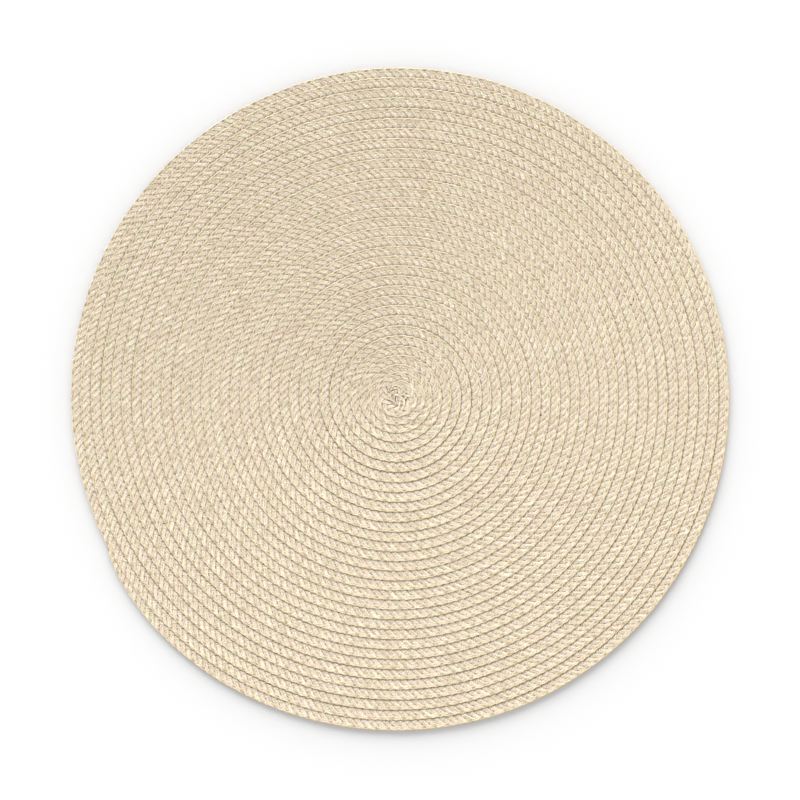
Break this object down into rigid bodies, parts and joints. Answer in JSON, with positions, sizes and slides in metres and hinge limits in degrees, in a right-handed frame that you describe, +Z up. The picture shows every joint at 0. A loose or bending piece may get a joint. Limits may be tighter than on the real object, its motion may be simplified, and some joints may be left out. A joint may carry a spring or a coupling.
{
  "type": "round braided fabric placemat",
  "caption": "Round flat placemat made of a flat fabric braid wound into a spiral, each turn lapped and sewn over the next one out.",
  "frame": {"origin": "middle of the mat's underside, at the centre of its outline and on the table", "axes": "+Z up out of the top face, +X to the mat's right and +Y to its far side, with the braid's tail at the near left"},
  "size_m": [0.378, 0.381, 0.0036],
  "materials": {
    "braid": "matt cream and ivory cotton yarns, plaited"
  },
  "bodies": {
    "root": {"braided_mat": "braid"}
  },
  "joints": []
}
